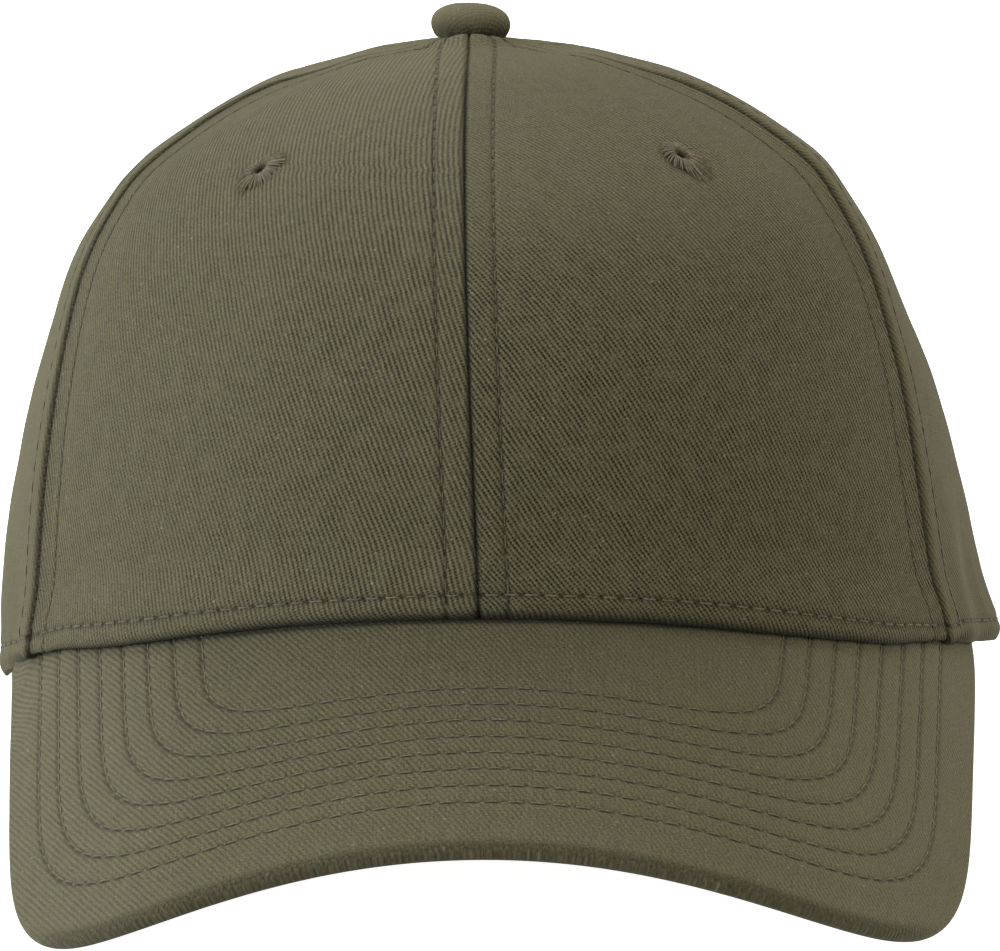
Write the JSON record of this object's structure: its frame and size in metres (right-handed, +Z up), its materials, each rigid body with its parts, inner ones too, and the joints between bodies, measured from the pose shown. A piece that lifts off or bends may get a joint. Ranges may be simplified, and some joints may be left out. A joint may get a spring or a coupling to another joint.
{
  "type": "six-panel cap",
  "caption": "Soft domed cap of sewn cloth panels with a curved, row-stitched peak, a covered top button and sewn air holes, lying on its back rim and the peak's corners.",
  "frame": {"origin": "centre of the bounding box's bottom face, on the surface that the cap lies on", "axes": "+Z up from that surface; +Y from the peak to the back of the crown; +X to the right as seen from the front"},
  "size_m": [0.1726, 0.265, 0.121],
  "materials": {
    "front_cloth": "brushed cotton twill",
    "crown_cloth": "brushed cotton twill",
    "peak_cloth": "brushed cotton twill, stitched in rows",
    "button_cloth": "brushed cotton twill",
    "thread": "matt thread"
  },
  "bodies": {
    "root": {"front_panel_left": "front_cloth", "front_panel_right": "front_cloth", "side_panel_left": "crown_cloth", "side_panel_right": "crown_cloth", "back_panel_left": "crown_cloth", "back_panel_right": "crown_cloth", "peak": "peak_cloth", "top_button": "button_cloth", "eyelet_front_left": "thread", "eyelet_front_right": "thread", "eyelet_side_left": "thread", "eyelet_side_right": "thread", "eyelet_back_left": "thread", "eyelet_back_right": "thread"}
  },
  "joints": []
}
